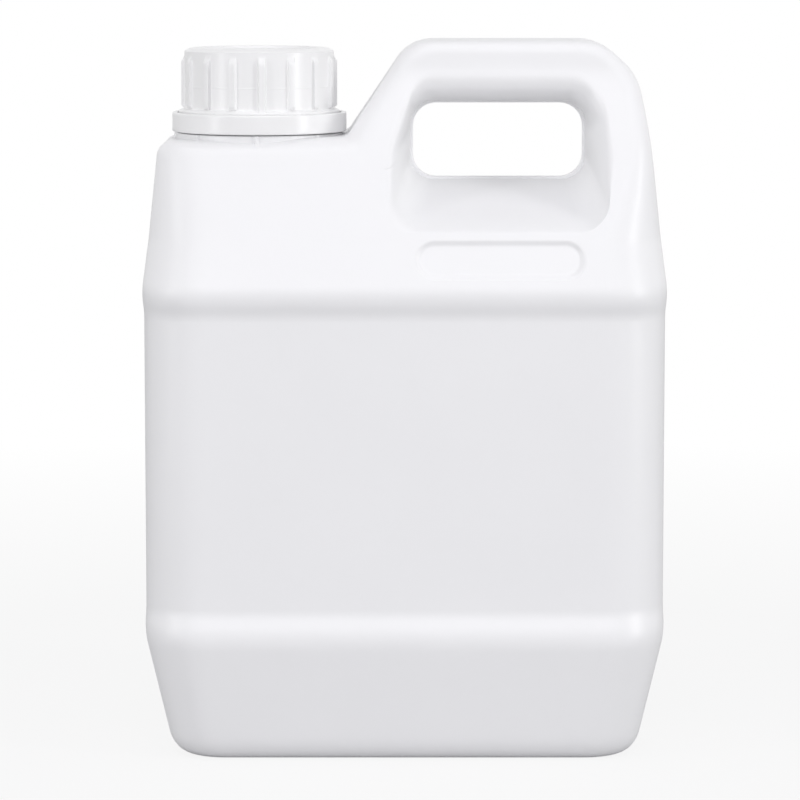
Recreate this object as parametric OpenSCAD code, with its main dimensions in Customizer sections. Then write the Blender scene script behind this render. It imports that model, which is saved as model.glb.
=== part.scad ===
// Two litre blow-moulded jug with a through handle and a tamper-evident screw cap.
// Millimetres, +Z up, the front faces -Y. The origin is the middle of the base, on the floor.

/* [Body] */
// Width of the body at the bulge of the shoulder
body_w = 157; // [145:1:170]
// Depth of the body at the bulge of the shoulder
body_d = 88; // [84:1:94]
// Height of the whole jug, to the top of the handle
body_h = 215.7; // [211:0.1:223]
// How far the deck that carries the neck lies below the top of the handle
deck_drop = 29.8; // [27:0.1:34]
// Height of the sloping shoulder, from the bulge up to the deck
shoulder_h = 45; // [41:0.5:50]
// Height of the undercut, from the label panel up to the bulge
undercut_h = 6; // [5.5:0.5:10]
// Height of the ridge between the label panel and the foot
ridge_h = 38.4; // [31:0.1:44]
// Height of the step from the ridge up to the label panel
step_h = 7; // [5.5:0.5:10]
// Depth of the label panel below the bulge, front and back
panel_recess = 2.6; // [1.5:0.1:3.5]
// Depth of the label panel below the bulge, left and right
side_recess = 0.3; // [0:0.1:1]
// Radius of the upright corners
corner_r = 17.4; // [14:0.2:20]
// How far the foot tapers in at the floor, each side
foot_taper = 8.7; // [6:0.1:10]
// Radius of the bottom edge
base_r = 8; // [5:0.5:10]
// How far the middle of the base is pushed up
push_up = 3; // [1:0.5:5]
// Width of the band round the base that the jug stands on
band = 6; // [4:0.5:7]
// Depth of the body at the deck
deck_d = 55; // [53:0.5:60]
// How far each side leans in between the bulge and the deck
side_lean = 4.5; // [3:0.1:7]
// How far the deck rises from its outer edge to the foot of the handle
deck_rise = 1.3; // [0.5:0.1:1.4]
// Radius of the rounded front and back edges of the deck
deck_edge = 9; // [7:0.5:10]
// Thickness of the blown wall
wall = 1.3; // [1:0.1:1.6]

/* [Handle] */
// Width of the hand hole
hole_w = 51.5; // [46:0.5:54]
// Height of the hand hole
hole_h = 22.4; // [19:0.1:24]
// Distance of the middle of the hand hole from the middle of the body
hole_x = 28.3; // [27:0.1:30]
// Height of the grip above the hand hole
grip_h = 19.1; // [17:0.1:21]
// Depth of the grip, front to back
grip_d = 33; // [30:0.5:38]
// Length of the level top of the grip, from corner to corner
grip_top = 57.4; // [53:0.1:58]
// Distance of the middle of that top from the middle of the body
grip_x = 30.2; // [29:0.1:31]
// Radius of the rounded edges of the grip
grip_edge = 4; // [3:0.2:4.6]
// Radius of the rounded edges of the outer side of the handle
side_edge = 5; // [4:0.2:5.6]
// Height of the sloping corner at the outer end of the grip
slant_h = 10; // [9:0.1:13]
// Width of the leg between the hole and the deck
leg_w = 20; // [18.5:0.1:20.2]
// How far the finger recess spreads to each side of the hole
scoop_side = 7; // [5:0.2:8]
// How far the finger recess spreads below the hole
scoop_down = 14.3; // [10:0.1:16]
// How far the underside of the grip is rounded up
scoop_up = 8; // [5:0.5:9]
// Thickness of the pinched web round the hole
web_t = 2.6; // [2:0.1:3.4]
// Width of the flat ledge of that web
web_w = 0.8; // [0.4:0.1:1.2]

/* [Shoulder recess] */
// Length of the small recess with round ends under the hole
pad_w = 50; // [40:0.5:56]
// Height of that recess
pad_h = 11.4; // [8:0.2:12]
// Depth of that recess
pad_t = 0.9; // [0.5:0.1:1.2]
// Height of its middle above the bulge
pad_up = 11.1; // [10:0.1:12]

/* [Neck] */
// Distance of the neck axis from the middle of the body
neck_x = -44.2; // [-46:0.1:-42]
// Radius of the bore
bore_r = 17.5; // [16:0.1:18.2]
// Radius of the neck wall
neck_r = 19.8; // [19.4:0.1:20]
// Radius of the base collar
collar_r = 25.2; // [24.8:0.1:25.4]
// Radius of the bead that holds the tamper ring
bead_r = 24.5; // [24.2:0.1:24.6]
// Height of the rim of the neck above the deck
neck_h = 23.4; // [22.9:0.1:25]
// Pitch of the thread
pitch = 4.2; // [4:0.1:4.6]
// Depth of the thread
thread_d = 1.1; // [0.8:0.1:1.2]
// Turns of thread on the neck
neck_turns = 1.75; // [1.25:0.25:2]

/* [Cap] */
// Radius of the skirt of the cap
cap_r = 22.7; // [22.6:0.1:23]
// Height of the cap
cap_h = 19.9; // [19.4:0.1:20.2]
// Thickness of the skirt
skirt_t = 1.2; // [1:0.1:1.4]
// Thickness of the top plate
plate_t = 2.1; // [1.6:0.1:2.4]
// Depth of the dish in the top
dish_t = 0.8; // [0.4:0.1:1]
// Radius of the dish in the top
dish_r = 17.8; // [15:0.1:19]
// Radius of the rounded top edge
cap_edge = 2.3; // [1.5:0.1:2.6]
// Number of grip ribs
ribs = 16; // [12:1:20]
// Width of a grip rib
rib_w = 2.4; // [1.8:0.1:2.8]
// How far a grip rib stands proud
rib_t = 1; // [0.6:0.1:1.2]
// Turn of the first grip rib from the front, in degrees
rib_turn = 4; // [0:1:22]
// Radius of the flange at the foot of the skirt
flange_r = 24.5; // [24.2:0.1:24.7]
// Height of that flange
flange_t = 1.1; // [0.8:0.1:1.6]
// Turns of thread in the cap
cap_turns = 1.25; // [1:0.25:1.5]
// Thickness of the liner
liner_t = 1; // [0.6:0.1:1.4]

/* [Tamper ring] */
// Outer radius of the ring
ring_r = 26.5; // [26.3:0.1:27]
// Height of the ring
ring_h = 5.8; // [5:0.1:6.2]
// Thickness of the wall of the ring
ring_t = 1.5; // [1.2:0.1:1.6]
// How far the top of the ring stands up round the flange of the cap
ring_lap = 0.5; // [0.2:0.1:0.8]
// How far the lip inside the foot of the ring reaches in
lip_d = 1.5; // [1.2:0.1:1.8]
// Height of that lip
lip_h = 1.6; // [1.2:0.1:1.8]
// Number of broken bridges on the ring
nubs = 12; // [8:1:16]

/* [Fits] */
// Running clearance between the two threads, and round the ring
clear = 0.35; // [0.3:0.05:0.4]

/* [Hidden] */
$fn = 64;
bend_n = 3;      // straight pieces in each rounded corner of an outline
round_n = 4;     // straight pieces in each rounded edge
scoop_n = 4;     // rows down the finger recess
face_n = 2;      // rows between the finger recess and the rounded edge
turn_n = 24;     // straight pieces in a turn of thread

// Heights up the body
deck_h = body_h - deck_drop;
bulge_h = deck_h - shoulder_h;
panel_top = bulge_h - undercut_h;
panel_bottom = ridge_h + step_h;

// Where the body is split into level sections below and rays round the hole above
cut_gap = 3;
cut_h = body_h - grip_h - hole_h - scoop_down - cut_gap;
hole_z = body_h - grip_h - hole_h / 2;
bulge_a = body_w / 2;
bulge_b = body_d / 2;
deck_a = bulge_a - side_lean;
deck_b = deck_d / 2;
lean = (bulge_b - deck_b) / (deck_h - bulge_h);
function slope_depth(z) = bulge_b - lean * (z - bulge_h);

// Heights of the cap, the ring and the bead, worked out from the rim
rim_h = deck_h + neck_h;
rim_edge = 0.5;
plate_z = rim_h + liner_t;
cap_top = plate_z + plate_t + dish_t;
cap_z = cap_top - cap_h;
ring_z = cap_z + ring_lap - ring_h;
bead_z = ring_z + lip_h + clear;
bead_h = 1.2;
bead_slope = 1.4;
root_r = ring_r - ring_t - lip_d - clear;
bore_foot = deck_h - 8;    // inside the hollow, below the wall of the deck
neck_foot = deck_h - 3;    // where the collar is sunk into that wall

// The flange, the ribs and the broken bridges
flange_slope = 1.2;
rib_z = cap_z + flange_t + 0.9;
rib_h = cap_top - cap_edge - 1.5 - rib_z;
rib_edge = 0.5;
rib_fade = 1.8;
ring_edge = 0.4;
nub_r = 0.4;
nub_h = 0.8;
nub_z = ring_z + ring_h - ring_edge - nub_h;

// The thread: its foot is sunk into the wall that carries it
thread_drop = 2;
thread_z = rim_h - thread_drop - neck_turns * pitch;
foot_half = 1;
crest_half = 0.45;
sink = 0.4;

function mix(a, b, t) = a + (b - a) * t;
function unit(v) = v / norm(v);
function flat(l) = [for (a = l) for (b = a) b];
function last(l) = l[len(l) - 1];
function reversed(l) = [for (i = [len(l) - 1:-1:0]) l[i]];
function at_height(a, b, z) = mix(a, b, (z - bulge_h) / (deck_h - bulge_h));

// A corner b between a and c, as the circular arc that begins its reach r away on each side
function bend(a, b, c, r) = r == 0 ? [for (i = [0:bend_n]) b] :
    let (p = b + unit(a - b) * r, q = b + unit(c - b) * r, w = norm(p - q) / (2 * r))
    [for (i = [0:bend_n]) let (s = i / bend_n, u = (1 - s) * (1 - s), v = 2 * s * (1 - s) * w, x = s * s)
        (p * u + b * v + q * x) / (u + v + x)];

// A closed outline from corners [point, reach], with a rounded stretch at each and steps[i] pieces after it
function outline(corners, steps) =
    let (n = len(corners),
        arcs = [for (i = [0:n - 1])
            bend(corners[(i + n - 1) % n][0], corners[i][0], corners[(i + 1) % n][0], corners[i][1])])
    flat([for (i = [0:n - 1]) let (a = arcs[i][bend_n], b = arcs[(i + 1) % n][0])
        concat(arcs[i], [for (k = [1:1:steps[i] - 1]) mix(a, b, k / steps[i])])]);

// An open line from corners [point, reach], one straight piece between the rounded stretches
function line(corners) = let (n = len(corners))
    concat([corners[0][0]],
        flat([for (i = [1:n - 2]) bend(corners[i - 1][0], corners[i][0], corners[i + 1][0], corners[i][1])]),
        [corners[n - 1][0]]);

function open_line(corners) = let (l = line(corners)) [for (i = [0:len(l) - 2]) l[i]];

// Corners of a closed outline moved to its left by g
function offset_corners(c, g) = let (n = len(c))
    [for (i = [0:n - 1])
        let (b = c[i][0], e = unit_2d(b - c[(i + n - 1) % n][0]), f = unit_2d(c[(i + 1) % n][0] - b),
            u = [-e[1], e[0], 0], v = [-f[1], f[0], 0])
        [b + g * (u + v) / (1 + u * v), c[i][1]]];
function unit_2d(v) = [v[0], v[1], 0] / norm([v[0], v[1]]);

// Pieces of outline between corners: bottom, right, handle side, chamfer, top, slope, deck, left
steps = [6, 3, 2, 1, 4, 3, 5, 3];
low_n = 2 * bend_n + steps[0];
stations = len(outline(hole_corners(0), steps));

// Half depth of the front face above the cut
grip_flare = 0.6;
face_line = line([
    [[cut_h, slope_depth(cut_h)], 1],
    [[deck_h, deck_b], 5],
    [[body_h - slant_h - 2, grip_d / 2 + grip_flare], 5],
    [[body_h, grip_d / 2], 1]]);
function half_depth(z, g) = lookup(z, face_line) - g;

// Corners of the body above the cut, seen from the front, from the lower left one anticlockwise:
// [x, z, radius of the rounded edge], the reach of the corner's curve, how far in the rounded edge begins
// as [x, z], and the reach of that inner curve
side_x = at_height(bulge_a, deck_a, cut_h);
valley = [hole_x - hole_w / 2 - leg_w, deck_h + deck_rise];
valley_edge = 6;
front_corners = [
    [[-side_x, cut_h, corner_r], 0, [corner_r, 0], 0],
    [[side_x, cut_h, corner_r], 0, [-corner_r, 0], 0],
    [[deck_a - 0.3, deck_h + 1, side_edge], 12, [-side_edge - 1, -3], 9],
    [[deck_a - 3.9, body_h - slant_h, side_edge], 6, [-side_edge, -2], 4],
    [[grip_x + grip_top / 2, body_h, grip_edge], 6, [-2.2, -grip_edge], 4],
    [[grip_x - grip_top / 2, body_h, grip_edge], 7, [2.6, -grip_edge], 5],
    [[valley[0], valley[1], valley_edge], 1.6, [7.5, -valley_edge + 0.8], 3],
    [[-deck_a, deck_h, deck_edge], 4.4, [corner_r, -deck_edge / 2], 3]];
silhouette = [for (c = front_corners) [c[0], c[1]]];
inner_edge = [for (c = front_corners) [[c[0][0] + c[2][0], c[0][1] + c[2][1], 0], c[3]]];

// Corners of the finger recess, as [x, z, exponent of its curve] and the reach of the corner's curve
function scoop_corners() =
    let (l = hole_x - hole_w / 2 - scoop_side, r = hole_x + hole_w / 2 + scoop_side,
        lo = hole_z - hole_h / 2 - scoop_down, hi = hole_z + hole_h / 2 + scoop_up)
    [[[l, lo, 1.15], 9], [[r, lo, 1.15], 9], [[r, deck_h - 4, 1.5], 3], [[r - 1, hi - 9, 1.7], 3],
        [[r - 7, hi, 2], 5], [[l + 8, hi, 2], 5], [[l, deck_h + 3, 1.6], 3], [[l, deck_h - 10, 1.4], 3]];
// Corners of the hand hole, grown by g, with two more points on each upright side
function hole_corners(g) =
    let (l = hole_x - hole_w / 2 - g, r = hole_x + hole_w / 2 + g, lo = hole_z - hole_h / 2 - g,
        hi = hole_z + hole_h / 2 + g)
    [[[l, lo, 0], 7], [[r, lo, 0], 7], [[r, hole_z - 2, 0], 1], [[r, hole_z + 2.5, 0], 1],
        [[r, hi, 0], 7], [[l, hi, 0], 7], [[l, hole_z + 2.5, 0], 1], [[l, hole_z - 2, 0], 1]];

// The skin of the blown body, moved in by g, is made of grids for its front half and their mirror images.
// The two walls are pinched together in the web, so the hollow keeps clear of the hole by more than g.
pinch = 1.2;
module skin(g) {
    hole = outline(hole_corners(g > 0 ? web_w + pinch * g : 0), steps);
    ledge = outline(hole_corners(web_w), steps);
    scoop = outline(g > 0 ? offset_corners(scoop_corners(), -g) : scoop_corners(), steps);
    rim = outline(g > 0 ? cut_flat(offset_corners(silhouette, g), g) : silhouette, steps);
    edge_raw = outline(inner_edge, steps);
    edge = [for (i = [0:stations - 1]) i > low_n ? edge_raw[i]
        : mix(inner_edge[0][0], inner_edge[1][0], i / low_n)];
    function lift(p, y) = [p[0], 0 - y, p[1]];
    function dent(i, t) = let (h = g > 0 ? hole[i] : ledge[i], q = scoop[i], p = q[2], m = g > 0 ? 0 : web_t / 2)
        lift(mix(h, q, t), mix(m, half_depth(q[1], g), pow(1 - pow(1 - t, p), 1 / p)));
    function face(i, t) = let (p = mix(scoop[i], edge[i], t)) lift(p, half_depth(p[1], g));
    function fall(i, t) = let (e = edge[i], r = rim[i], p = mix(e, r, sin(90 * t)))
        lift(p, half_depth(p[1], g) - (r[2] - g) * (1 - cos(90 * t)));
    function ray(i) = concat(
        g > 0 ? [] : [lift(hole[i], 0), lift(hole[i], web_t / 2)],
        [for (t = [0:scoop_n]) dent(i, t / scoop_n)],
        [for (t = [1:face_n]) face(i, t / face_n)]);
    function brow(i) = concat([last(upper[i])], [for (t = [1:round_n]) fall(i, t / round_n)], [lift(rim[i], 0)]);
    function section(l) =
        let (a = l[0], b = l[1], z = l[2], c = min(l[3], b - 4),
            left = [for (t = [0:round_n]) [-a + c * (1 - cos(90 * t / round_n)), -b + c * (1 - sin(90 * t / round_n)), z]],
            right = [for (t = [0:round_n]) [-left[round_n - t][0], left[round_n - t][1], z]])
        concat([[-a, 0, z]], left, [for (t = [1:low_n - 1]) mix(left[round_n], right[0], t / low_n)],
            right, [[a, 0, z]]);
    upper = [for (i = [0:stations]) ray(i % stations)];
    brows = [for (i = [low_n:stations]) brow(i % stations)];
    cut = concat(reversed(last(brows)), [for (i = [1:low_n - 1]) last(upper[i])], brows[0]);
    lower = concat([for (l = levels(g)) section(l)], [cut]);
    front = [upper, brows, lower];
    back = [for (grid = front) [for (row = grid) [for (p = row) [p[0], 0 - p[1], p[2]]]]];
    foot = lower[0];
    spine = [for (i = [0:len(foot) - 1]) mix(foot[0], last(foot), i / (len(foot) - 1))];
    base = [foot, spine, back[2][0]];
    shell(concat([for (grid = front) [grid, false]], [for (grid = back) [grid, true]], [[base, true]]));
}

// Corners of the silhouette keep their height at the cut when the skin is moved in
function cut_flat(c, g) = [for (i = [0:len(c) - 1])
    i < 2 ? [[c[i][0][0] > 0 ? side_x - g : -side_x + g, cut_h, c[i][0][2]], c[i][1]] : c[i]];

// Level sections [half width, half depth, height, corner radius] from the push-up to below the cut, with
// the reach of the curve between each and its neighbours. The bulge stands out by what its curve takes off.
bulge_out = 0.3;
function levels(g) =
    let (a = bulge_a - g, b = bulge_b - g, c = corner_r - g, f = foot_taper, s = panel_recess,
        w = side_recess, o = bulge_out, in = f + base_r + band)
    open_line([
        [[a - in - band, b - in - band, push_up + g, base_r - 2], 1],
        [[a - in, b - in, g, base_r], 2.5],
        [[a - f, b - f, g, c - f / 2], base_r - g],
        [[a, b, ridge_h, c], 4],
        [[a - w, b - s, panel_bottom, c], 1.6],
        [[a - w, b - s, panel_top, c], 1.6],
        [[a + o, b + o, bulge_h, c], 3.8],
        [[side_x - g, slope_depth(cut_h) - g, cut_h, c], 1]]);

// A closed solid from grids of points [grid, turned over]
module shell(grids) {
    points = flat([for (e = grids) flat(e[0])]);
    sizes = [for (e = grids) len(e[0]) * len(e[0][0])];
    starts = [for (i = 0, s = 0; i < len(grids); s = s + sizes[i], i = i + 1) s];
    faces = flat([for (i = [0:len(grids) - 1])
        let (g = grids[i][0], m = len(g[0]), o = starts[i])
        flat([for (r = [0:len(g) - 2]) for (c = [0:m - 2])
            let (a = o + r * m + c, b = a + 1, d = a + m, e = d + 1)
            grids[i][1] ? [[a, b, e], [a, e, d]] : [[a, e, b], [a, d, e]]])]);
    polyhedron(points, faces);
}

// Helical ridge of a thread on a cylinder along Z, from foot radius r to crest radius q
module helix(r, q, turns, half_foot, half_crest) {
    n = round(turns * turn_n);
    function ring(i) =
        let (a = 360 * i / turn_n, z = pitch * i / turn_n, crest = mix(r, q, min(1, min(i, n - i) / 4 + 0.3)))
        [for (p = [[r, -half_foot], [crest, -half_crest], [crest, half_crest], [r, half_foot]])
            [p[0] * cos(a), p[0] * sin(a), z + p[1]]];
    points = flat([for (i = [0:n]) ring(i)]);
    sides = flat([for (i = [0:n - 1]) for (j = [0:3])
        let (a = 4 * i + j, b = 4 * i + (j + 1) % 4)
        q > r ? [[a, b, b + 4], [a, b + 4, a + 4]] : [[a, b + 4, b], [a, a + 4, b + 4]]]);
    ends = [[3, 2, 1, 0], [4 * n, 4 * n + 1, 4 * n + 2, 4 * n + 3]];
    polyhedron(points, concat(sides, q > r ? ends : [for (e = ends) reversed(e)]));
}

// The neck from below the deck to the rim, with its collar, the bead over the ring's lip and the thread
module neck() {
    inner = bore_r - 1;
    collar_z = ring_z - clear;
    translate([neck_x, 0, 0]) {
        rotate_extrude() polygon([
            [inner, neck_foot], [collar_r, neck_foot], [collar_r, collar_z], [root_r, collar_z],
            [root_r, bead_z], [bead_r, bead_z], [bead_r, bead_z + bead_h],
            [neck_r, bead_z + bead_h + bead_slope], [neck_r, rim_h - rim_edge], [neck_r - rim_edge, rim_h],
            [inner, rim_h]]);
        translate([0, 0, thread_z])
            helix(neck_r - sink, neck_r + thread_d, neck_turns, foot_half, crest_half);
    }
}

// The plate with round ends that is pressed into the shoulder, grown by g and set square to its slope
module pad(g) {
    z = bulge_h + pad_up;
    w = pad_w / 2 - pad_h / 2;
    proud = 6;
    translate([hole_x, -slope_depth(z), z]) rotate([90 - atan(lean), 0, 0])
        translate([0, 0, -pad_t - g]) linear_extrude(pad_t + g + proud) {
            square([2 * w, pad_h + 2 * g], center = true);
            for (x = [-w, w]) translate([x, 0]) circle(pad_h / 2 + g);
        }
}

module bottle() {
    color("whitesmoke") difference() {
        union() {
            skin(0);
            neck();
        }
        difference() {
            skin(wall);
            pad(wall);
        }
        pad(0);
        translate([neck_x, 0, bore_foot]) cylinder(r = bore_r, h = rim_h + 1 - bore_foot);
    }
}

module cap() {
    inner = cap_r - skirt_t;
    color("white") translate([neck_x, 0, 0]) {
        rotate_extrude() polygon(concat(
            [[0, plate_z], [inner, plate_z], [inner, cap_z], [flange_r, cap_z], [flange_r, cap_z + flange_t],
                [cap_r, cap_z + flange_t + flange_slope]],
            [for (a = [0:15:90]) [cap_r - cap_edge * (1 - cos(a)), cap_top - cap_edge * (1 - sin(a))]],
            [[dish_r, cap_top], [dish_r - dish_t, cap_top - dish_t], [0, cap_top - dish_t]]));
        for (i = [0:ribs - 1]) rotate([90, 0, 360 * i / ribs - 90 + rib_turn]) translate([cap_r, rib_z, -rib_w / 2])
            linear_extrude(rib_w) polygon([[-sink, 0], [rib_t - rib_edge, 0], [rib_t, rib_edge],
                [rib_t, rib_h], [0, rib_h + rib_fade], [-sink, rib_h + rib_fade]]);
        translate([0, 0, thread_z - pitch / 2])
            helix(inner + sink, neck_r + clear, cap_turns, foot_half, crest_half);
    }
}

module tamper_ring() {
    inner = ring_r - ring_t;
    color("white") translate([neck_x, 0, 0]) {
        rotate_extrude() polygon([
            [inner - lip_d, ring_z], [ring_r, ring_z], [ring_r, ring_z + ring_h - ring_edge],
            [ring_r - ring_edge, ring_z + ring_h], [inner, ring_z + ring_h], [inner, ring_z + lip_h],
            [inner - lip_d, ring_z + lip_h]]);
        for (i = [0:nubs - 1]) rotate(360 * (i + 0.5) / nubs - 90)
            translate([inner + nub_r / 4, 0, nub_z]) cylinder(r = nub_r, h = nub_h);
    }
}

module liner() {
    color("gainsboro") translate([neck_x, 0, rim_h]) cylinder(r = cap_r - skirt_t - clear, h = liner_t);
}

bottle();
cap();
tamper_ring();
liner();
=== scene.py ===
"""A two litre blow-moulded jug with a tamper-evident screw cap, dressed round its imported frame.

Every shape is worked out in millimetres and becomes metres only when its mesh is made.
"""
import math

import bmesh
import bpy
import numpy as np
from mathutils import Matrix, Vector


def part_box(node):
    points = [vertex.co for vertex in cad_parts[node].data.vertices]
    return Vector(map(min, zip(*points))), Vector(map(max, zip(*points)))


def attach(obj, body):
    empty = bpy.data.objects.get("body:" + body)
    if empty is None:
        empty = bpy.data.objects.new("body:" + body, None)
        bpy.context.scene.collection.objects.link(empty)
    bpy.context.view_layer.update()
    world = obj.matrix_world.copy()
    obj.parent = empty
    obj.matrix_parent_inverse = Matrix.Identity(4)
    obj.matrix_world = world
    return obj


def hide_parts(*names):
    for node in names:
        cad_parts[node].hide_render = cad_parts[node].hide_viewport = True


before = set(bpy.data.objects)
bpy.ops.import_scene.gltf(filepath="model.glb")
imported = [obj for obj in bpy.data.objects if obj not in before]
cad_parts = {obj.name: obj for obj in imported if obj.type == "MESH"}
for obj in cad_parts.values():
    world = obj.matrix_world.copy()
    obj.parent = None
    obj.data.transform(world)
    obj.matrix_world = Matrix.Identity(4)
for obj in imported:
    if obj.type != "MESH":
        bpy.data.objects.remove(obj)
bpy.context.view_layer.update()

MM = 0.001


def corners_of(node):
    """Lowest and highest corner of a node of the frame, in millimetres."""
    lo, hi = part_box(node)
    return np.array(lo) / MM, np.array(hi) / MM


_, bottle_hi = corners_of("bottle")
cap_lo, cap_hi = corners_of("cap")
ring_lo, ring_hi = corners_of("tamper_ring")
liner_lo, liner_hi = corners_of("liner")

# The body, from the frame and from the dimensions of the jug
BODY_W, BODY_D = 157, 88
CREST = 0.094           # how far the curve of the bulge stands beyond its drawn half width
BODY_H = bottle_hi[2]
BULGE_A = bottle_hi[0] - CREST
BULGE_B = BULGE_A * BODY_D / BODY_W
DECK_DROP, SHOULDER_H, UNDERCUT_H, STEP_H = 29.8, 45, 6, 7
DECK_H = BODY_H - DECK_DROP
BULGE_H = DECK_H - SHOULDER_H
PANEL_TOP = BULGE_H - UNDERCUT_H
RIDGE_H = 38.4
PANEL_BOTTOM = RIDGE_H + STEP_H
PANEL_RECESS = 2.6
SIDE_RECESS = 0.3
CORNER_R = 17.4
FOOT_TAPER = 8.7
BASE_R = 8
PUSH_UP = 3
BAND = 6
SIDE_LEAN = 4.5
DECK_A = BULGE_A - SIDE_LEAN
DECK_B = 27.5
DECK_RISE = 1.3
DECK_EDGE = 9
BULGE_OUT = 0.25
WALL = 1.3

# The handle, its hand hole and the finger recess round the hole
HOLE_W, HOLE_H, HOLE_X = 51.5, 22.4, 28.3
GRIP_H, GRIP_D, GRIP_EDGE = 19.1, 33, 4
GRIP_TOP, GRIP_X = 57.4, 30.2
GRIP_FLARE = 0.6
SIDE_EDGE = 5
SLANT_H = 10
LEG_W = 20
VALLEY_EDGE = 6
SCOOP_SIDE, SCOOP_DOWN, SCOOP_UP = 7, 14.3, 8
WEB_T, WEB_W, WEB_EDGE = 2.6, 0.8, 0.5
PINCH = 1.2             # how far the hollow keeps clear of the web, in walls
HOLE_Z = BODY_H - GRIP_H - HOLE_H / 2
CUT_H = BODY_H - GRIP_H - HOLE_H - SCOOP_DOWN - 3
LEAN = (BULGE_B - DECK_B) / (DECK_H - BULGE_H)
SIDE_X = BULGE_A + (DECK_A - BULGE_A) * (CUT_H - BULGE_H) / (DECK_H - BULGE_H)

# The small recess with round ends under the hole
PAD_W, PAD_H, PAD_T, PAD_UP = 50, 11.4, 0.9, 11.1

# The line that the two halves of the mould leave
SEAM_HALF, SEAM_PROUD = 0.45, 0.12
SCAR_L, SCAR_W, SCAR_T = 92, 1.4, 0.5

# The neck, the cap, the ring and the liner turn about one axis
NECK_X = (cap_lo[0] + cap_hi[0]) / 2
RIM_H, PLATE_Z = liner_lo[2], liner_hi[2]
CAP_Z, CAP_TOP = cap_lo[2], cap_hi[2]
RING_Z, RING_TOP = ring_lo[2], ring_hi[2]
RING_R = (ring_hi[0] - ring_lo[0]) / 2
FLANGE_R = (cap_hi[0] - cap_lo[0]) / 2
LINER_R = (liner_hi[0] - liner_lo[0]) / 2
CLEAR = 0.35
BORE_R, NECK_R, COLLAR_R, BEAD_R = 17.5, 19.8, 25.2, 24.5
CAP_R, SKIRT_T, CAP_EDGE, DISH_R, DISH_T = 22.7, 1.2, 2.3, 17.8, 0.8
FLANGE_T = 1.1
STEP_R, STEP_T = 15.0, 0.15     # a low step inside the dish
RING_T, LIP_D, LIP_H = 1.5, 1.5, 1.6
ROOT_R = RING_R - RING_T - LIP_D - CLEAR
BEAD_Z, BEAD_H = RING_Z + LIP_H + CLEAR, 1.2
PITCH, THREAD_D = 4.2, 1.1
NECK_TURNS, CAP_TURNS = 1.75, 1.25
THREAD_Z = RIM_H - 2 - NECK_TURNS * PITCH
THREAD_FOOT, THREAD_CREST = 1.0, 0.45
RIBS, RIB_W, RIB_T = 16, 2.4, 1.0
RIB_TURN = math.radians(4)
NUBS = 12
LUGS, LUG_W, LUG_T = 8, 1.5, 0.7


def mix(a, b, t):
    """The point a share t of the way from a to b."""
    return a + (b - a) * t


def ease(t):
    """A share from 0 to 1 with no kink at either end: 3 t squared minus 2 t cubed, held between 0 and 1."""
    t = np.clip(t, 0, 1)
    return t * t * (3 - 2 * t)


def unit(v):
    """The vector v at length 1."""
    return v / np.linalg.norm(v)


def arc(a, b, c, reach, bends):
    """Corner b between a and c as a circular arc that begins reach before b and ends reach after it: the
    rational quadratic curve whose middle weight is the cosine of half the turn."""
    if reach == 0:
        return np.repeat(b[None], bends + 1, axis=0)
    p, q = b + unit(a - b) * reach, b + unit(c - b) * reach
    s = np.linspace(0, 1, bends + 1)[:, None]
    k = (1 - s) ** 2, 2 * s * (1 - s) * np.linalg.norm(p - q) / (2 * reach), s * s
    return (p * k[0] + b * k[1] + q * k[2]) / (k[0] + k[1] + k[2])


def rounded(corners, pieces, bends, closed=True):
    """A line through corners (point, reach): an arc at each, and pieces[i] straight pieces after corner i.
    An open line starts and ends on its first and last corner."""
    points = [np.array(point, float) for point, _ in corners]
    n = len(points)
    arcs = [arc(points[i - 1], points[i], points[(i + 1) % n], corners[i][1], bends) for i in range(n)]
    if not closed:
        arcs[0], arcs[-1] = points[0][None], points[-1][None]
    run = []
    for i in range(n if closed else n - 1):
        a, b = arcs[i][-1], arcs[(i + 1) % n][0]
        run += [arcs[i], mix(a, b, np.linspace(0, 1, pieces[i] + 1)[1:-1, None])]
    return np.concatenate(run if closed else run + [arcs[-1]])


def slope_depth(z):
    """Half depth of the sloping front of the shoulder at height z."""
    return BULGE_B - LEAN * (z - BULGE_H)


FACE_LINE = rounded([
    ((CUT_H, slope_depth(CUT_H)), 0),
    ((DECK_H, DECK_B), 5),
    ((BODY_H - SLANT_H - 2, GRIP_D / 2 + GRIP_FLARE), 5),
    ((BODY_H, GRIP_D / 2), 0)], [1, 1, 1], 10, closed=False)


def half_depth(z):
    """Half depth of the front face above the cut: the shoulder's slope, which turns into the grip's face."""
    return np.interp(z, FACE_LINE[:, 0], FACE_LINE[:, 1])


# Corners of the body above the cut, seen from the front, from the lower left one anticlockwise: (x, z,
# radius of the rounded edge), reach of the corner, where the rounded edge begins, reach of that curve
FRONT = [
    ((-SIDE_X, CUT_H, CORNER_R), 0, (CORNER_R, 0), 0),
    ((SIDE_X, CUT_H, CORNER_R), 0, (-CORNER_R, 0), 0),
    ((DECK_A - 0.3, DECK_H + 1, SIDE_EDGE), 12, (-SIDE_EDGE - 1, -3), 9),
    ((DECK_A - 3.9, BODY_H - SLANT_H, SIDE_EDGE), 6, (-SIDE_EDGE, -2), 4),
    ((GRIP_X + GRIP_TOP / 2, BODY_H, GRIP_EDGE), 6, (-2.2, -GRIP_EDGE), 4),
    ((GRIP_X - GRIP_TOP / 2, BODY_H, GRIP_EDGE), 7, (2.6, -GRIP_EDGE), 5),
    ((HOLE_X - HOLE_W / 2 - LEG_W, DECK_H + DECK_RISE, VALLEY_EDGE), 1.6, (7.5, 0.8 - VALLEY_EDGE), 3),
    ((-DECK_A, DECK_H, DECK_EDGE), 4.4, (CORNER_R, -DECK_EDGE / 2), 3)]


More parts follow.
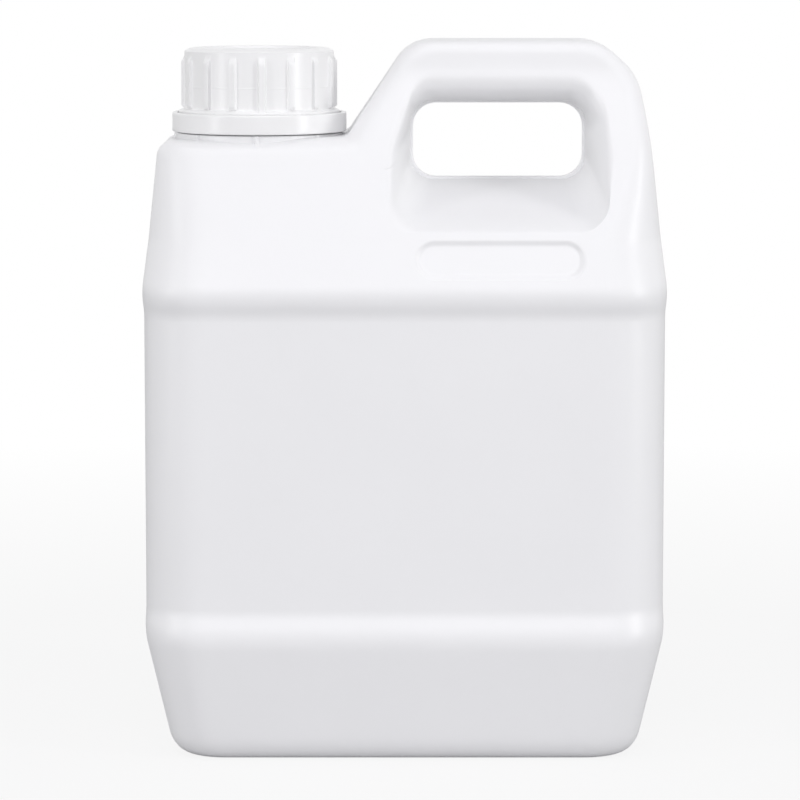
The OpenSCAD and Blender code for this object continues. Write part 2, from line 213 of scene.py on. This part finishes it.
def scoop_corners(g):
    """Corners of the finger recess grown by g, as ((x, z, exponent of its curve), reach)."""
    l, r = HOLE_X - HOLE_W / 2 - SCOOP_SIDE - g, HOLE_X + HOLE_W / 2 + SCOOP_SIDE + g
    lo, hi = HOLE_Z - HOLE_H / 2 - SCOOP_DOWN - g, HOLE_Z + HOLE_H / 2 + SCOOP_UP + g
    return [((l, lo, 1.15), 9), ((r, lo, 1.15), 9), ((r, DECK_H - 4, 1.5), 3), ((r - 1, hi - 9, 1.7), 3),
            ((r - 7, hi, 2), 5), ((l + 8, hi, 2), 5), ((l, DECK_H - 4.5, 1.5), 3), ((l, DECK_H - 10, 1.4), 2)]


def hole_corners(g):
    """Corners of the hand hole grown by g, with two more points on each upright side."""
    l, r = HOLE_X - HOLE_W / 2 - g, HOLE_X + HOLE_W / 2 + g
    lo, hi = HOLE_Z - HOLE_H / 2 - g, HOLE_Z + HOLE_H / 2 + g
    up, down = HOLE_Z + 2.5, HOLE_Z - 2
    return [((l, lo), 7), ((r, lo), 7), ((r, down), 1), ((r, up), 1),
            ((r, hi), 7), ((l, hi), 7), ((l, up), 1), ((l, down), 1)]


def level_corners(g):
    """Level sections moved in by g, as ((half width, half depth, height, corner radius), reach)."""
    a, b, c, inset = BULGE_A - g, BULGE_B - g, CORNER_R - g, FOOT_TAPER + BASE_R + BAND
    return [
        ((a - inset - BAND, b - inset - BAND, PUSH_UP + g, BASE_R - 2), 0),
        ((a - inset, b - inset, g, BASE_R), 2.5),
        ((a - FOOT_TAPER, b - FOOT_TAPER, g, c - FOOT_TAPER / 2), BASE_R - g),
        ((a, b, RIDGE_H, c), 4),
        ((a - SIDE_RECESS, b - PANEL_RECESS, PANEL_BOTTOM, c), 1.6),
        ((a - SIDE_RECESS, b - PANEL_RECESS, PANEL_TOP, c), 1.6),
        ((a + BULGE_OUT, b + BULGE_OUT, BULGE_H, c), 3.8),
        ((SIDE_X - g, slope_depth(CUT_H) - g, CUT_H, c), 0)]


def lift(xz, y):
    """Points (x, z) of the front view set y in front of the middle plane."""
    return np.stack([xz[..., 0], -y + 0 * xz[..., 0], xz[..., 1]], axis=-1)


def side_rows(flat, proud):
    """Rows from the end of a rounded edge to the middle plane: their distance from that plane, where flat is
    the half width of the flat side, and how far each stands out. All but the last two sink a little, which
    leaves the seam standing along the outline."""
    y = flat[:, None] * np.array([2 / 3, 1 / 3, 0, 0, 0, 0]) + SEAM_HALF * np.array([0, 0, 1.7, 1, 0.5, 0])
    return y, proud * np.array([-0.6, -1, -1, -1, 0, 0])


def soften(rays, at, reach, passes):
    """Rounds the ridge in row at of each ray: rows within reach of it move halfway to the middle of their
    neighbours, pass after pass, less and less towards the ends of the stretch."""
    rows = np.arange(rays.shape[1])
    weight = 0.5 * ease((reach - np.abs(rows - at)) / (0.4 * reach))[None, :, None]
    for _ in range(passes):
        middle = (np.roll(rays, 1, axis=1) + np.roll(rays, -1, axis=1)) / 2
        rays = mix(rays, middle, weight)
    return rays


def skin_grids(g, bends, pieces, turn, proud):
    """Grids of the front half of the blown skin, moved in by g. Above the cut a ray runs from each station of
    the hand hole out over the web, up the finger recess, across the face and round the edge to the middle
    plane. Below the cut each row is half of a level rounded rectangle."""
    hole = rounded(hole_corners(WEB_W + PINCH * g if g else 0), pieces, bends)
    ledge = rounded(hole_corners(WEB_W), pieces, bends)
    scoop = rounded(scoop_corners(g), pieces, bends)
    rim = rounded([((x, z, r), reach) for (x, z, r), reach, _, _ in FRONT], pieces, bends)
    edge = rounded([((x + dx, z + dz), reach) for (x, z, _), _, (dx, dz), reach in FRONT], pieces, bends)
    low = 2 * bends + pieces[0]
    run = np.linspace(0, 1, low + 1)[:, None]
    edge[:low + 1] = mix(np.array([CORNER_R - SIDE_X, CUT_H]), np.array([SIDE_X - CORNER_R, CUT_H]), run)
    out = np.gradient(np.concatenate([rim[low:], rim[:1]])[:, :2], axis=0)
    out = np.stack([out[:, 1], -out[:, 0]], axis=1) / np.linalg.norm(out, axis=1)[:, None]

    # The finger recess, with close rows near its ridge, and the face, with close rows at both of its ends
    start = hole if g else ledge
    depth = 0 if g else WEB_T / 2
    width = np.linalg.norm(scoop[:, :2] - start, axis=1)[:, None]
    near = np.clip(1 - 4 / width, 0.2, 0.9)
    bow = 1 - np.cos(np.linspace(0, math.pi / 2, turn + 2))[None]
    t = np.concatenate([bow * near, mix(near, 1.0, np.linspace(0, 1, turn + 1)[None, 1:])], axis=1)
    power = scoop[:, 2:3]
    rise = (1 - (1 - t) ** power) ** (1 / power)
    dent = lift(mix(start[:, None], scoop[:, None, :2], t[..., None]),
                mix(depth, half_depth(scoop[:, 1:2]) - g, rise))
    across = np.linalg.norm(edge - scoop[:, :2], axis=1)[:, None]
    near = np.clip(3 / across, 0.1, 0.5)
    far = mix(near, 1.0, np.sin(np.linspace(0, math.pi / 2, 9))[None, 1:])
    t = np.concatenate([near * np.linspace(0, 1, turn)[None, 1:], far], axis=1)
    flat = mix(scoop[:, None, :2], edge[:, None], t[..., None])
    face = lift(flat, half_depth(flat[..., 1]) - g)
    rays = np.concatenate([dent, face], axis=1)
    rays = soften(rays, dent.shape[1] - 1, 0.8 * turn, 2 * turn)
    if not g:
        round_off = np.radians([0, 30, 60, 90])
        inward = WEB_EDGE / WEB_W * (1 - np.cos(round_off))[None, :, None]
        out_by = WEB_T / 2 - WEB_EDGE + WEB_EDGE * np.sin(round_off)
        web = lift(mix(hole[:, None], ledge[:, None], inward), out_by)
        rays = np.concatenate([lift(hole, 0)[:, None], web, rays], axis=1)
    upper = np.concatenate([rays, rays[:1]])

    # The rounded edge and the side, from the lower right corner round the top to the lower left one
    turned = np.linspace(0, math.pi / 2, turn + 1)[None, 1:]
    e = np.concatenate([edge[low:], edge[:1]])
    r = np.concatenate([rim[low:], rim[:1]])
    r = np.concatenate([r[:, :2] - g * out, r[:, 2:]], axis=1)
    # The edge's curve is a circle's at the cut, and begins more gently towards the deck and the handle
    fall = mix(e[:, None], r[:, None, :2], np.sin(turned)[..., None])
    power = 2 + 0.6 * ease((r[:, 1:2] - CUT_H) / 25)
    drop = 1 - np.sqrt(1 - np.sin(turned) ** power)
    fall = lift(fall, half_depth(fall[..., 1]) - g - (r[:, 2:3] - g) * drop)
    y, stand = side_rows(half_depth(r[:, 1]) - r[:, 2], proud)
    side = lift(r[:, None, :2] + out[:, None] * stand[:, None], y)
    brows = np.concatenate([upper[low:, -1:], fall, side], axis=1)

    # Level sections, and the row that they share with the rays
    levels = rounded(level_corners(g), [3, 5, 8, 3, 12, 3, 8], bends, closed=False)
    a, b, z, c = levels[:-1, :, None].transpose(1, 0, 2)
    c = np.minimum(c, b - 4)
    y, stand = side_rows((b - c)[:, 0], proud)
    turned = np.linspace(0, math.pi / 2, turn + 1)[None, :-1]
    left_x = np.concatenate([-a - stand[::-1], -a + c * (1 - np.cos(turned))], axis=1)
    left_y = np.concatenate([y[:, ::-1], b - c * (1 - np.sin(turned))], axis=1)
    middle = mix(c - a, a - c, run.T)
    xs = np.concatenate([left_x, middle, -left_x[:, ::-1]], axis=1)
    ys = np.concatenate([left_y, b + 0 * middle, left_y[:, ::-1]], axis=1)
    lower = np.stack([xs, -ys, z + 0 * xs], axis=-1)
    cut = np.concatenate([brows[-1, ::-1], upper[1:low, -1], brows[0]])
    return [upper, brows, np.concatenate([lower, cut[None]])]


def mesh_piece(name, grids, rings=()):
    """An object from grids of points, whose neighbours in rows and columns make its faces, and from rings of
    points that are each closed by one face. Shared edges are merged and all faces turned outwards."""
    points, faces, start = [], [], 0
    for grid in grids:
        rows, columns = grid.shape[:2]
        index = np.arange(rows * columns).reshape(rows, columns) + start
        quads = np.stack([index[:-1, :-1], index[:-1, 1:], index[1:, 1:], index[1:, :-1]], axis=-1)
        points.append(grid.reshape(-1, 3))
        faces += quads.reshape(-1, 4).tolist()
        start += rows * columns
    for ring in rings:
        points.append(ring)
        faces.append(list(range(start, start + len(ring))))
        start += len(ring)
    mesh = bpy.data.meshes.new(name)
    mesh.from_pydata(np.concatenate(points) * MM, [], faces)
    work = bmesh.new()
    work.from_mesh(mesh)
    bmesh.ops.remove_doubles(work, verts=work.verts, dist=0.002 * MM)
    bmesh.ops.dissolve_degenerate(work, edges=work.edges, dist=0.0005 * MM)
    bmesh.ops.recalc_face_normals(work, faces=work.faces)
    work.to_mesh(mesh)
    work.free()
    piece = bpy.data.objects.new(name, mesh)
    bpy.context.scene.collection.objects.link(piece)
    return piece


def combine(piece, steps):
    """Joins or cuts the piece with each other solid, keeps the result as its mesh and drops the others."""
    for operation, other in steps:
        boolean = piece.modifiers.new(other.name, "BOOLEAN")
        boolean.operation = operation
        boolean.solver = "MANIFOLD"
        boolean.object = other
    graph = bpy.context.evaluated_depsgraph_get()
    result = bpy.data.meshes.new_from_object(piece.evaluated_get(graph))
    piece.modifiers.clear()
    piece.data = result
    for _, other in steps:
        bpy.data.objects.remove(other)


def finish_mesh(piece, angle, material, body, node):
    """Smooth shading with sharp edges past an angle, the material, and the piece's place in the frame."""
    piece.data.shade_smooth()
    piece.data.set_sharp_from_angle(angle=math.radians(angle))
    piece.data.materials.clear()
    piece.data.materials.append(material)
    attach(piece, body)
    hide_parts(node)


def mirrored(grids):
    """The grids and their mirror images behind the middle plane."""
    return grids + [grid * np.array([1, -1, 1]) for grid in grids]


def skin(name, g, bends, pieces, turn, proud):
    """The whole closed skin, moved in by g: both halves and the flat middle of the base."""
    grids = skin_grids(g, bends, pieces, turn, proud)
    if g:
        grids[0] = press_in(grids[0])
        grids[2] = press_in(grids[2])
    foot = grids[2][0]
    ring = np.concatenate([foot, foot[-2:0:-1] * np.array([1, -1, 1])])
    return mesh_piece(name, mirrored(grids), [ring])


def press_in(grid):
    """Moves the inner wall in behind the small recess, so that the wall keeps its thickness there."""
    half = PAD_W / 2 - PAD_H / 2
    off = np.maximum(np.abs(grid[..., 0] - HOLE_X) - half, 0)
    far = np.hypot(off, grid[..., 2] - BULGE_H - PAD_UP)
    grid[..., 1] += PAD_T * ease((PAD_H / 2 + 4 - far) / 3)
    return grid


def pad_cutter():
    """The solid that is pressed into the shoulder: a profile of its sloping edge carried round a line with
    round ends, set square to the slope."""
    z = BULGE_H + PAD_UP
    tilt = math.atan(LEAN)
    profile = rounded([((-2.0, -PAD_T), 0), ((-1.15, -PAD_T), 0.5), ((-0.1, -0.08), 0.35), ((0.9, 0.14), 0.3),
                       ((1.0, 3.0), 0)], [1, 2, 2, 1], 5, closed=False)
    around = np.radians(np.concatenate([np.linspace(-90, 90, 33), np.linspace(90, 270, 33)]))
    half = (PAD_W - PAD_H) / 2 * np.sign(np.concatenate([np.ones(33), -np.ones(33)]))
    radius = PAD_H / 2 + profile[:, 0][:, None]
    u = half + radius * np.cos(around)
    v = radius * np.sin(around)
    w = profile[:, 1][:, None] + 0 * u
    grid = np.stack([HOLE_X + u, -slope_depth(z) + v * math.sin(tilt) - w * math.cos(tilt),
                     z + v * math.cos(tilt) + w * math.sin(tilt)], axis=-1)
    grid = np.concatenate([grid, grid[:, :1]], axis=1)
    return mesh_piece("pad_cutter", [grid], [grid[0, :-1], grid[-1, :-1]])


def turned(name, profile, angles, shape=None, hollow=True):
    """A solid of revolution about the neck axis: each profile point (r, z) goes round by the angles, and
    shape(r, z, angle) may move its radius. A hollow profile closes on itself, any other ends on the axis."""
    if hollow:
        profile = np.concatenate([profile, profile[:1]])
    angles = np.append(angles, angles[0] + 2 * math.pi)[None]
    r = profile[:, :1] + 0 * angles
    z = profile[:, 1:] + 0 * angles
    if shape:
        r = shape(r, z, angles + 0 * r)
    grid = np.stack([NECK_X + r * np.cos(angles), r * np.sin(angles), z], axis=-1)
    return mesh_piece(name, [grid])


def even(n):
    """n angles evenly round the axis, the first at the front."""
    return np.arange(n) * 2 * math.pi / n - math.pi / 2


def around_ribs(count, radius, offsets):
    """Angles round the axis that lie close together beside each of count ribs, from offsets in millimetres
    at the radius. The first rib is at the front."""
    return (even(count)[:, None] + np.array(offsets)[None] / radius).ravel()


def tooth(z, angle, base, turns):
    """Share from 0 to 1 of a thread's height: 1 on its crest, sloping to 0 at its foot, along the helix that
    rises by a pitch each turn from height base, and faded out at both ends."""
    share = (angle % (2 * math.pi)) / (2 * math.pi)
    lap = np.round((z - base) / PITCH - share)
    off = np.abs((z - base) / PITCH - share - lap) * PITCH
    along = np.minimum(share + lap, turns - share - lap)
    return ease((THREAD_FOOT - off) / (THREAD_FOOT - THREAD_CREST)) * ease(along / 0.14 + 0.2)


def neck():
    """The neck: collar with its stop lugs, root, bead, wall with its thread, and rounded rim."""
    foot, collar_z, wall_z = DECK_H - 3, RING_Z - CLEAR, BEAD_Z + BEAD_H + 1.4
    inner = BORE_R - 1
    profile = rounded([
        ((inner, foot), 0), ((COLLAR_R, foot), 0), ((COLLAR_R, collar_z), 0.4), ((ROOT_R, collar_z), 0.4),
        ((ROOT_R, BEAD_Z), 0.3), ((BEAD_R, BEAD_Z), 0.25), ((BEAD_R, BEAD_Z + BEAD_H), 0.4),
        ((NECK_R, wall_z), 0.7), ((NECK_R, RIM_H), 0.6), ((inner, RIM_H), 0)],
        [1, 3, 2, 3, 2, 1, 3, 44, 2, 1], 4)

    def shape(r, z, angle):
        on_wall = (np.abs(r - NECK_R) < 0.02) & (z > wall_z)
        step = 2 * math.pi / LUGS
        off = (angle + math.pi / 2 + step / 2) % step - step / 2
        lug = ease((LUG_W / 2 - np.abs(off) * COLLAR_R) / 0.3) * (r > COLLAR_R - 1) * (z < collar_z + 0.1)
        return r + on_wall * THREAD_D * tooth(z, angle, THREAD_Z, NECK_TURNS) + lug * LUG_T

    offsets = np.append([-0.9, -0.75, -0.6, -0.3, 0.3, 0.6, 0.75, 0.9], np.linspace(1.8, 18, 17))
    return turned("neck_blank", profile, around_ribs(LUGS, COLLAR_R, offsets), shape)


def bore():
    """The cylinder that opens the neck, with a small rounded edge at the rim."""
    profile = rounded([((0, DECK_H - 8), 0), ((BORE_R, DECK_H - 8), 0), ((BORE_R, RIM_H - 0.5), 0.4),
                       ((BORE_R + 0.6, RIM_H + 0.1), 0), ((BORE_R + 0.6, RIM_H + 2), 0), ((0, RIM_H + 2), 0)],
                      [1, 1, 1, 1, 1], 4, closed=False)
    return turned("bore_cutter", profile, even(160), hollow=False)


def scar():
    """The pinched line of the mould on the base: a low bar with rounded edges along the middle plane."""
    section = rounded([((-SCAR_W / 2, 0.4), 0), ((-SCAR_W / 2, -SCAR_T), 0.3), ((SCAR_W / 2, -SCAR_T), 0.3),
                       ((SCAR_W / 2, 0.4), 0)], [1, 1, 1, 1], 4)
    x = np.linspace(-SCAR_L / 2, SCAR_L / 2, 40)[:, None]
    taper = 1 - 0.75 * np.abs(x / (SCAR_L / 2)) ** 6
    y = section[None, :, 0] * taper
    z = PUSH_UP + np.where(section[None, :, 1] < 0, section[None, :, 1] * taper, section[None, :, 1])
    grid = np.stack([x + 0 * y, y, z + 0 * y], axis=-1)
    grid = np.concatenate([grid, grid[:, :1]], axis=1)
    return mesh_piece("scar", [grid], [grid[0, :-1], grid[-1, :-1]])


def colour(text):
    """An sRGB hex colour as linear red, green, blue and alpha."""
    share = np.array([int(text[i:i + 2], 16) for i in (1, 3, 5)]) / 255
    linear = np.where(share <= 0.04045, share / 12.92, ((share + 0.055) / 1.055) ** 2.4)
    return (*linear.tolist(), 1.0)


def add(tree, kind, values=None, links=None, **settings):
    """Adds a node, sets its settings and the values of its sockets, and links its inputs."""
    made = tree.nodes.new(kind)
    for name, value in settings.items():
        setattr(made, name, value)
    for name, value in (values or {}).items():
        made.inputs[name].default_value = value
    for name, source in (links or {}).items():
        tree.links.new(source, made.inputs[name])
    return made


def new_material(name):
    """An empty node material with its tree and a texture coordinate node's Object output."""
    material = bpy.data.materials.new(name)
    material.use_nodes = True
    tree = material.node_tree
    tree.nodes.clear()
    place = add(tree, "ShaderNodeTexCoord").outputs["Object"]
    return material, tree, place


def blow_moulded_hdpe():
    """Natural white high density polyethylene, blown against a grit-blasted mould: a waxy, faintly blue white
    with broad soft highlights, a fine orange peel that breaks them up, and walls that bow very slightly."""
    material, tree, place = new_material("blow_moulded_hdpe")
    cloud = add(tree, "ShaderNodeTexNoise", {"Scale": 1 / (38 * MM), "Detail": 2.0}, {"Vector": place})
    tint = add(tree, "ShaderNodeMix", {"A": colour("#F0F0F1"), "B": colour("#F3F3F4")},
               {"Factor": cloud.outputs["Fac"]}, data_type="RGBA")
    peel = add(tree, "ShaderNodeTexNoise", {"Scale": 1 / (1.1 * MM), "Detail": 3.0, "Roughness": 0.55},
               {"Vector": place})
    bow = add(tree, "ShaderNodeTexNoise", {"Scale": 1 / (30 * MM), "Detail": 1.0}, {"Vector": place})
    broad = add(tree, "ShaderNodeBump", {"Strength": 0.35, "Distance": 0.25 * MM},
                {"Height": bow.outputs["Fac"]})
    fine = add(tree, "ShaderNodeBump", {"Strength": 0.3, "Distance": 0.03 * MM},
               {"Height": peel.outputs["Fac"], "Normal": broad.outputs["Normal"]})
    rough = add(tree, "ShaderNodeMapRange", {"To Min": 0.34, "To Max": 0.42}, {"Value": peel.outputs["Fac"]})
    surface = add(tree, "ShaderNodeBsdfPrincipled", {"IOR": 1.54, "Metallic": 0.0},
                  {"Base Color": tint.outputs["Result"], "Roughness": rough.outputs["Result"],
                   "Normal": fine.outputs["Normal"]})
    add(tree, "ShaderNodeOutputMaterial", None, {"Surface": surface.outputs["BSDF"]})
    return material


def moulded_pp(name):
    """Polypropylene, injection moulded in a polished tool: a cleaner white than the bottle, with tighter
    highlights and only a trace of flow in the surface."""
    material, tree, place = new_material(name)
    cloud = add(tree, "ShaderNodeTexNoise", {"Scale": 1 / (12 * MM), "Detail": 2.0}, {"Vector": place})
    tint = add(tree, "ShaderNodeMix", {"A": colour("#F3F3F3"), "B": colour("#F5F5F5")},
               {"Factor": cloud.outputs["Fac"]}, data_type="RGBA")
    flow = add(tree, "ShaderNodeTexNoise", {"Scale": 1 / (2.5 * MM), "Detail": 2.0}, {"Vector": place})
    bump = add(tree, "ShaderNodeBump", {"Strength": 0.05, "Distance": 0.01 * MM},
               {"Height": flow.outputs["Fac"]})
    rough = add(tree, "ShaderNodeMapRange", {"To Min": 0.27, "To Max": 0.29}, {"Value": flow.outputs["Fac"]})
    surface = add(tree, "ShaderNodeBsdfPrincipled", {"IOR": 1.49, "Metallic": 0.0},
                  {"Base Color": tint.outputs["Result"], "Roughness": rough.outputs["Result"],
                   "Normal": bump.outputs["Normal"]})
    add(tree, "ShaderNodeOutputMaterial", None, {"Surface": surface.outputs["BSDF"]})
    return material


def polyethylene_foam():
    """Closed-cell polyethylene foam, sliced from a sheet: matt, with a pattern of cut cells."""
    material, tree, place = new_material("polyethylene_foam")
    cells = add(tree, "ShaderNodeTexVoronoi", {"Scale": 1 / (0.45 * MM)}, {"Vector": place})
    tint = add(tree, "ShaderNodeMix", {"A": colour("#E2E2E4"), "B": colour("#F0F0F1")},
               {"Factor": cells.outputs["Distance"]}, data_type="RGBA")
    bump = add(tree, "ShaderNodeBump", {"Strength": 0.6, "Distance": 0.08 * MM},
               {"Height": cells.outputs["Distance"]})
    surface = add(tree, "ShaderNodeBsdfPrincipled", {"IOR": 1.51, "Metallic": 0.0, "Roughness": 0.85},
                  {"Base Color": tint.outputs["Result"], "Normal": bump.outputs["Normal"]})
    add(tree, "ShaderNodeOutputMaterial", None, {"Surface": surface.outputs["BSDF"]})
    return material


def bottle():
    """The blown bottle: its skin joined to the neck, then hollowed, bored and pressed in at the shoulder."""
    body = skin("jug_bottle", 0, 12, [54, 22, 12, 8, 34, 22, 36, 22], 10, SEAM_PROUD)
    hollow = skin("hollow", WALL, 5, [24, 8, 5, 3, 12, 8, 12, 8], 5, 0)
    combine(body, [("UNION", neck()), ("DIFFERENCE", hollow), ("DIFFERENCE", bore()),
                   ("DIFFERENCE", pad_cutter()), ("UNION", scar())])
    finish_mesh(body, 32, blow_moulded_hdpe(), "bottle", "bottle")


def cap():
    """The screw cap: a ribbed skirt over a low flange, a rounded rim round a shallow dish, and inside it the
    thread and the ring that the liner presses on."""
    inner = CAP_R - SKIRT_T
    rib_low, rib_high = CAP_Z + FLANGE_T + 0.7, CAP_TOP - CAP_EDGE - 1.2
    line_z = mix(rib_low, rib_high, 0.45)
    dish_z = CAP_TOP - DISH_T
    profile = rounded([
        ((0, PLATE_Z), 0), ((inner - 0.6, PLATE_Z), 0.3), ((inner, PLATE_Z - 0.8), 0.3),
        ((inner, CAP_Z), 0.25), ((FLANGE_R, CAP_Z), 0.2), ((FLANGE_R, CAP_Z + FLANGE_T), 0.35),
        ((CAP_R, CAP_Z + FLANGE_T + 0.6), 0.4), ((CAP_R, line_z - 0.18), 0.08),
        ((CAP_R + 0.07, line_z), 0.08), ((CAP_R, line_z + 0.18), 0.08),
        ((CAP_R, CAP_TOP), CAP_EDGE), ((DISH_R, CAP_TOP), 0.25), ((DISH_R - 0.5, dish_z), 0.3),
        ((STEP_R + 0.2, dish_z), 0.1), ((STEP_R, dish_z - STEP_T), 0.1), ((0, dish_z - STEP_T), 0)],
        [4, 1, 34, 2, 1, 2, 12, 1, 1, 14, 3, 2, 3, 1, 6], 5, closed=False)

    def shape(r, z, angle):
        outside = ease((r - CAP_R + 1.2) / 0.6) * (z > CAP_Z + FLANGE_T)
        step = 2 * math.pi / RIBS
        from_first = (angle + math.pi / 2 - RIB_TURN + math.pi) % (2 * math.pi) - math.pi
        off = (from_first + step / 2) % step - step / 2
        front = np.abs(from_first) < step / 2
        low = np.where(front, CAP_Z + FLANGE_T - 0.3, rib_low)
        height = ease((z - low) / 0.5) * ease((rib_high + 1.2 - z) / 1.9)
        rib = ease((RIB_W / 2 + 0.12 - np.abs(off) * CAP_R) / 0.42)
        r = np.maximum(r, outside * (CAP_R + RIB_T * rib * height))
        on_wall = (np.abs(r - inner) < 0.02) & (z < PLATE_Z - 1)
        return r - on_wall * (inner - NECK_R - CLEAR) * tooth(z, angle, THREAD_Z - PITCH / 2, CAP_TURNS)

    beside = np.array([0.4, 0.8, 0.95, 1.08, 1.22, 1.35, 1.7])
    offsets = np.concatenate([-beside[::-1], [0], beside, [2.8, 4.4, 6.1]])
    angles = around_ribs(RIBS, CAP_R, offsets) + RIB_TURN
    piece = turned("screw_cap", profile, angles, shape, hollow=False)
    finish_mesh(piece, 40, moulded_pp("moulded_pp_cap"), "cap", "cap")


def tamper_ring():
    """The band under the cap: a plain wall with rounded edges, a lip inside its foot that hooks under the
    bead, and the stubs of the broken bridges inside its top edge."""
    inner = RING_R - RING_T
    profile = rounded([
        ((inner - LIP_D, RING_Z), 0.35), ((RING_R, RING_Z), 0.4), ((RING_R, RING_TOP), 0.45),
        ((inner, RING_TOP), 0.25), ((inner, RING_Z + LIP_H), 0.25), ((inner - LIP_D, RING_Z + LIP_H), 0.3)],
        [3, 6, 2, 10, 2, 2], 5)

    def shape(r, z, angle):
        step = 2 * math.pi / NUBS
        off = (angle + math.pi / 2 + step) % step - step / 2
        stub = ease((0.62 - np.abs(off) * inner) / 0.3) * ease((RING_TOP - 0.15 - z) / 0.3)
        stub = stub * ease((z - RING_TOP + 1.5) / 0.4) * (r < inner + 0.3)
        return r - 0.32 * stub

    offsets = [-0.7, -0.5, -0.32, 0, 0.32, 0.5, 0.7, 2, 3.5, 5, 6.5, 8, 9.5, 11]
    angles = around_ribs(NUBS, inner, offsets) + math.pi / NUBS
    piece = turned("tamper_band", profile, angles, shape)
    finish_mesh(piece, 40, moulded_pp("moulded_pp_ring"), "bottle", "tamper_ring")


def liner():
    """The foam disc between the rim and the cap, a little softened at its edge."""
    profile = rounded([((0, RIM_H), 0), ((LINER_R, RIM_H), 0.2), ((LINER_R, PLATE_Z), 0.2),
                       ((0, PLATE_Z), 0)], [6, 2, 6], 4, closed=False)
    piece = turned("foam_liner", profile, even(96), hollow=False)
    finish_mesh(piece, 40, polyethylene_foam(), "liner", "liner")


def camera():
    """The photograph's view: from far off and a little above the jug, through a long lens."""
    lens = bpy.data.cameras.new("camera")
    lens.sensor_width = 36
    lens.lens = 180
    lens.clip_end = 20
    stand = bpy.data.objects.new("camera", lens)
    stand.location = (-1.4 * MM, -1219.3 * MM, 254.8 * MM)
    stand.rotation_euler = (math.radians(90 - 6.99), 0, 0)
    bpy.context.scene.collection.objects.link(stand)
    bpy.context.scene.camera = stand


def softbox(name, place, aim, size, power, tone="#FFFFFF"):
    """A rectangular lamp at a place, facing a point, both in metres."""
    light = bpy.data.lights.new(name, "AREA")
    light.shape = "RECTANGLE"
    light.size, light.size_y = size
    light.energy = power
    light.color = colour(tone)[:3]
    lamp = bpy.data.objects.new(name, light)
    lamp.location = place
    bpy.context.scene.collection.objects.link(lamp)
    lamp.rotation_euler = (Vector(aim) - Vector(place)).to_track_quat("-Z", "Y").to_euler()


def lights():
    """Large soft lamps above, in front and at both sides, and a pale room that the camera sees as white."""
    middle = (0, 0, 0.11)
    softbox("top_softbox", (0.0, -0.35, 1.35), middle, (1.3, 1.0), 3.9, "#FAF9FF")
    softbox("front_softbox", (0.0, -1.5, 0.98), middle, (1.4, 1.0), 6.4, "#FAF9FF")
    softbox("right_softbox", (1.25, -0.7, 0.45), middle, (0.16, 0.9), 6.4)
    softbox("left_softbox", (-1.25, -0.75, 0.45), middle, (0.12, 0.9), 4.4)
    world = bpy.data.worlds.new("studio")
    bpy.context.scene.world = world
    world.use_nodes = True
    tree = world.node_tree
    tree.nodes.clear()
    path = add(tree, "ShaderNodeLightPath")
    seen = add(tree, "ShaderNodeMath", None,
               {0: path.outputs["Is Camera Ray"], 1: path.outputs["Is Glossy Ray"]}, operation="MAXIMUM")
    seen = add(tree, "ShaderNodeMath", None, {0: seen.outputs[0], 1: path.outputs["Is Transmission Ray"]},
               operation="MAXIMUM")
    strength = add(tree, "ShaderNodeMapRange", {"To Min": 0.41, "To Max": 1.0}, {"Value": seen.outputs[0]})
    glow = add(tree, "ShaderNodeBackground", {"Color": colour("#FFFFFF")},
               {"Strength": strength.outputs["Result"]})
    add(tree, "ShaderNodeOutputWorld", None, {"Surface": glow.outputs["Background"]})


def floor():
    """A plain pale table that fades to white away from the jug and keeps its soft shadow."""
    reach = 3000
    ring = np.radians(np.arange(64) * 360 / 64)
    disc = np.stack([reach * np.cos(ring), reach * np.sin(ring), 0 * ring], axis=-1)
    piece = mesh_piece("floor", [], [disc])
    material, tree, place = new_material("matt_white_table")
    path = add(tree, "ShaderNodeLightPath")
    far = add(tree, "ShaderNodeVectorMath", None, {0: place}, operation="LENGTH")
    fade = add(tree, "ShaderNodeMapRange", {"From Min": 0.25, "From Max": 0.7, "To Min": 0.87, "To Max": 1.0},
               {"Value": far.outputs["Value"]})
    share = add(tree, "ShaderNodeMath", None, {0: path.outputs["Is Camera Ray"], 1: fade.outputs["Result"]},
                operation="MULTIPLY")
    table = add(tree, "ShaderNodeBsdfDiffuse", {"Color": colour("#D2D2D3")})
    white = add(tree, "ShaderNodeEmission", {"Color": colour("#FFFFFF"), "Strength": 1.0})
    both = add(tree, "ShaderNodeMixShader", None,
               {0: share.outputs[0], 1: table.outputs["BSDF"], 2: white.outputs["Emission"]})
    add(tree, "ShaderNodeOutputMaterial", None, {"Surface": both.outputs["Shader"]})
    piece.data.materials.append(material)


camera()
bottle()
cap()
tamper_ring()
liner()
lights()
floor()
bpy.context.scene.view_settings.view_transform = "Standard"
